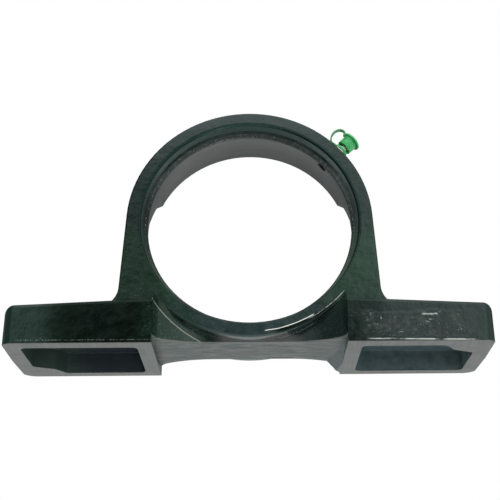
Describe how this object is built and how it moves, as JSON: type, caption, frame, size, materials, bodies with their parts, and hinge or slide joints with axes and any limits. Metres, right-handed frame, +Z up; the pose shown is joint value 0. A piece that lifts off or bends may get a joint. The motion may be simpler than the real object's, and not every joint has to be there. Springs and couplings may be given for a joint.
{
  "type": "pillow block bearing housing",
  "caption": "Cast pillow block housing with a spherical bearing seat, loading slots, slotted hollow feet and a capped grease nipple.",
  "frame": {"origin": "centre of the base plane, under the bore axis", "axes": "+X along the base through both bolt slots, +Y along the shaft towards the loading slots, +Z up from the base to the bore"},
  "size_m": [0.265, 0.062, 0.1474],
  "materials": {
    "green_enamel_casting": "gloss enamel over a cast surface, bare machined seat and foot pads",
    "zinc_steel": "zinc plated",
    "ball_steel": "polished",
    "spring_steel": "drawn wire",
    "green_plastic": "slightly translucent soft polyethylene"
  },
  "bodies": {
    "housing": {"housing": "green_enamel_casting", "grease_nipple": "zinc_steel", "nipple_spring": "spring_steel"},
    "check_ball": {"nipple_check_ball": "ball_steel"},
    "cap_tether": {"cap_ring": "green_plastic", "cap_strap": "green_plastic"},
    "cap": {"nipple_cap": "green_plastic"}
  },
  "joints": [
    {"name": "valve_ball_slide", "type": "slide", "parent": "housing", "child": "check_ball", "axis": [-0.7254, 0, -0.6884], "range_m": [0, 0.001], "stiffness_N_per_m": 300, "springref_m": -0.0015, "deforming": ["nipple_spring"]},
    {"name": "cap_swivel", "type": "hinge", "parent": "housing", "child": "cap_tether", "pos_m": [0.05086, -0.0085, 0.12447], "axis": [0.7254, 0, 0.6884], "continuous": true},
    {"name": "cap_pull", "type": "slide", "parent": "cap_tether", "child": "cap", "axis": [0.7254, 0, 0.6884], "range_m": [0, 0.006], "deforming": ["cap_strap"]}
  ]
}
